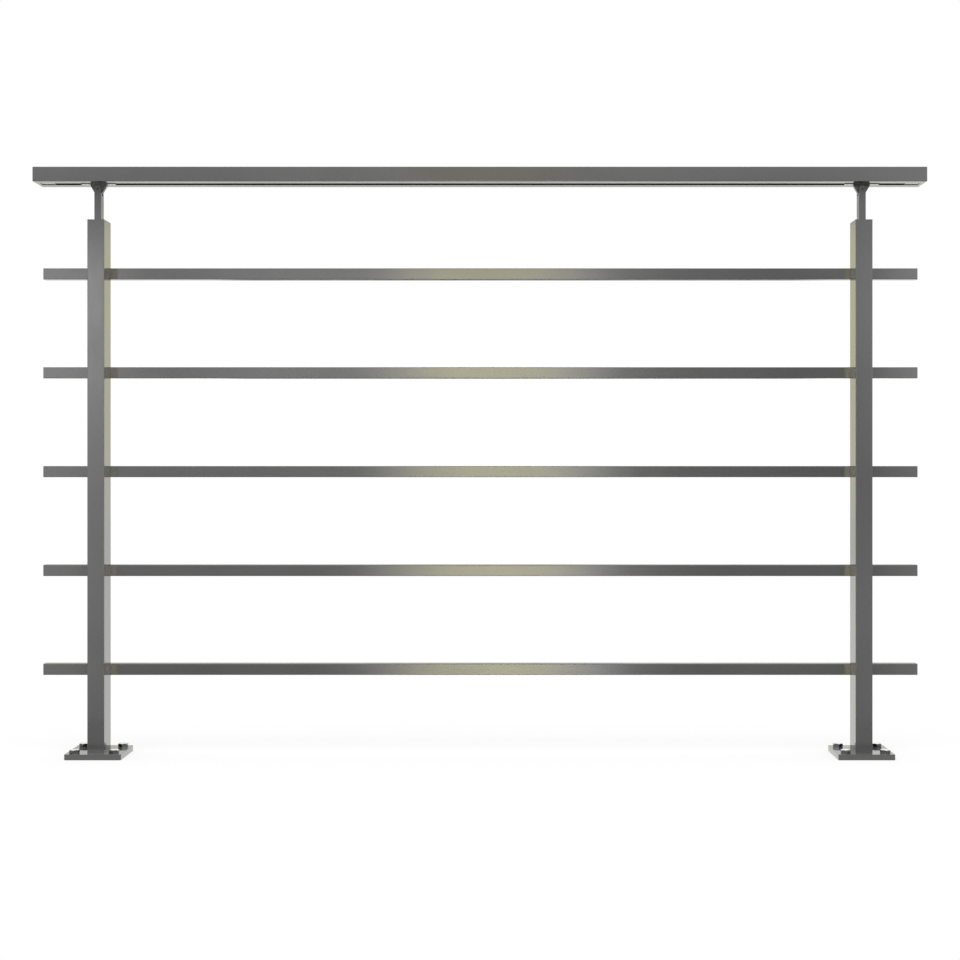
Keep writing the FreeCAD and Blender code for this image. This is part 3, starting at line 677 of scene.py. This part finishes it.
def studio_air():
    """White behind the railing, and a pale room that lights it mostly from above."""
    world = bpy.data.worlds.new("studio")
    bpy.context.scene.world = world
    world.use_nodes = True
    tree = world.node_tree
    tree.nodes.clear()
    direction = add_node(tree, "ShaderNodeTexCoord").outputs["Generated"]
    ray = add_node(tree, "ShaderNodeLightPath")
    parts = add_node(tree, "ShaderNodeSeparateXYZ", links={"Vector": direction})

    # What polished faces show: a white wall, warmer to both sides in one band, with darker patches
    warm_band = lit_between(tree, parts.outputs["Z"], *WARM_BAND)
    on_left = lit_between(tree, parts.outputs["X"], *WARM_ON_LEFT)
    on_right = lit_between(tree, parts.outputs["X"], *WARM_ON_RIGHT)
    aside = add_node(tree, "ShaderNodeMath", {"operation": "ADD"}, links={0: on_left, 1: on_right})
    warmth = add_node(tree, "ShaderNodeMath", {"operation": "MULTIPLY"},
                      links={0: warm_band, 1: aside.outputs["Value"]})
    mirrored_tint = add_node(tree, "ShaderNodeMix", {"data_type": "RGBA"},
                             {"A": colour(FAR_WALL_TINT), "B": colour(FAR_WALL_WARM_TINT)},
                             {"Factor": warmth.outputs["Value"]})
    mirrored_level = add_node(tree, "ShaderNodeMapRange", values=FAR_WALL_LEVEL,
                              links={"Value": parts.outputs["X"]}).outputs["Result"]
    for depth, across, upwards in FAR_WALL_PATCHES.values():
        kept = add_node(tree, "ShaderNodeMapRange", values={"To Min": 1.0, "To Max": 1.0 - depth},
                        links={"Value": lit_patch(tree, parts, across, upwards)})
        mirrored_level = add_node(tree, "ShaderNodeMath", {"operation": "MULTIPLY"},
                                  links={0: mirrored_level, 1: kept.outputs["Result"]}).outputs["Value"]
    mirrored = add_node(tree, "ShaderNodeBackground",
                        links={"Color": mirrored_tint.outputs["Result"], "Strength": mirrored_level})

    # The light itself falls mostly from above
    level = add_node(tree, "ShaderNodeMapRange", values=ROOM_LIGHT, links={"Value": parts.outputs["Z"]})
    lit = add_node(tree, "ShaderNodeBackground", links={"Strength": level.outputs["Result"]})
    room = add_node(tree, "ShaderNodeMixShader",
                    links={0: ray.outputs["Is Glossy Ray"], 1: lit.outputs["Background"],
                           2: mirrored.outputs["Background"]})
    white = add_node(tree, "ShaderNodeBackground", values={"Color": PLAIN_WHITE, "Strength": 1.0})
    both = add_node(tree, "ShaderNodeMixShader",
                    links={0: ray.outputs["Is Camera Ray"], 1: room.outputs["Shader"],
                           2: white.outputs["Background"]})
    add_node(tree, "ShaderNodeOutputWorld", links={"Surface": both.outputs["Shader"]})


def wall_behind_camera():
    """Dark studio cloth with lit windows, seen only in reflections: it draws the fronts' highlights."""
    material, tree = new_material("dark_studio_cloth")
    place = add_node(tree, "ShaderNodeTexCoord").outputs["Object"]
    parts = add_node(tree, "ShaderNodeSeparateXYZ", links={"Vector": place})
    total = add_node(tree, "ShaderNodeValue").outputs["Value"]
    total.default_value = WALL_LEVEL
    for level, across, upwards in WINDOWS.values():
        total = add_node(tree, "ShaderNodeMath", {"operation": "MULTIPLY_ADD"}, {1: level},
                         {0: lit_patch(tree, parts, across, upwards), 2: total}).outputs["Value"]
    warm_share = lit_between(tree, parts.outputs["X"], *WALL_WARMTH)
    tint = add_node(tree, "ShaderNodeMix", {"data_type": "RGBA"},
                    {"A": PLAIN_WHITE, "B": colour(WALL_WARM_TINT)}, {"Factor": warm_share})
    light = add_node(tree, "ShaderNodeEmission",
                     links={"Color": tint.outputs["Result"], "Strength": total})
    add_node(tree, "ShaderNodeOutputMaterial", links={"Surface": light.outputs["Emission"]})
    wall = flat_sheet("wall_behind_camera",
                      [(WALL_RIGHT, WALL_BACK, WALL_LOW), (WALL_LEFT, WALL_BACK, WALL_LOW),
                       (WALL_LEFT, WALL_BACK, WALL_HIGH), (WALL_RIGHT, WALL_BACK, WALL_HIGH)], material)
    wall.visible_camera = False
    wall.visible_diffuse = False
    wall.visible_shadow = False


def overhead_light():
    """A wide soft lamp above and before the railing: it models the fronts and shades what is under them."""
    lamp = bpy.data.lights.new("overhead", "AREA")
    lamp.shape = "RECTANGLE"
    lamp.size = LAMP_WIDTH
    lamp.size_y = LAMP_DEPTH
    lamp.energy = LAMP_POWER
    holder = bpy.data.objects.new("overhead", lamp)
    bpy.context.scene.collection.objects.link(holder)
    holder.location = LAMP_PLACE
    holder.rotation_euler = (LAMP_TILT, 0, 0)
    holder.visible_camera = False
    holder.visible_glossy = False


def level_camera():
    """The camera, level as the photograph's was, with its lens shifted to frame the railing."""
    lens = bpy.data.cameras.new("camera")
    lens.lens = CAMERA_LENS
    lens.shift_x, lens.shift_y = CAMERA_SHIFT
    holder = bpy.data.objects.new("camera", lens)
    bpy.context.scene.collection.objects.link(holder)
    holder.location = CAMERA_PLACE
    holder.rotation_euler = (CAMERA_TILT, 0, 0)
    bpy.context.scene.camera = holder


# Finishes on the CAD nodes

dress(["handrail"] + [kind + side for kind in ("saddle_plate_", "end_cap_", "end_lug_") for side in SIDES],
      powder_coat("powder_coated_rail", "X", dust=RAIL_TOP_DUST))
dress(["post_" + side for side in SIDES], powder_coat("powder_coated_posts", "Z"))
dress(["crossbar_%d" % number for number in BARS]
      + ["crossbar_plug_%s_%d" % (side, number) for side in SIDES for number in BARS],
      powder_coat("powder_coated_bars", "X", dust=BAR_TOP_DUST))
dress(["base_plate_" + side for side in SIDES], powder_coat("powder_coated_plates", "Z", PLATE_ROUGHNESS))
fitting_coat = powder_coat("powder_coated_fittings", "Z")
dress([kind + side for kind in ("post_cap_", "stem_", "bracket_head_") for side in SIDES], fitting_coat)

# Fasteners, in the order in which they are turned at random
upright_steel = cold_headed_steel("stainless_bolts", "Z")
add_anchor_bolts(upright_steel)
add_key_screws(upright_steel)
add_bar_screws(cold_headed_steel("stainless_bar_screws", "Y"))
add_pivot_screws(fitting_coat)

# Studio and camera
lay_floor()
studio_air()
wall_behind_camera()
overhead_light()
level_camera()
bpy.context.scene.view_settings.view_transform = "Standard"
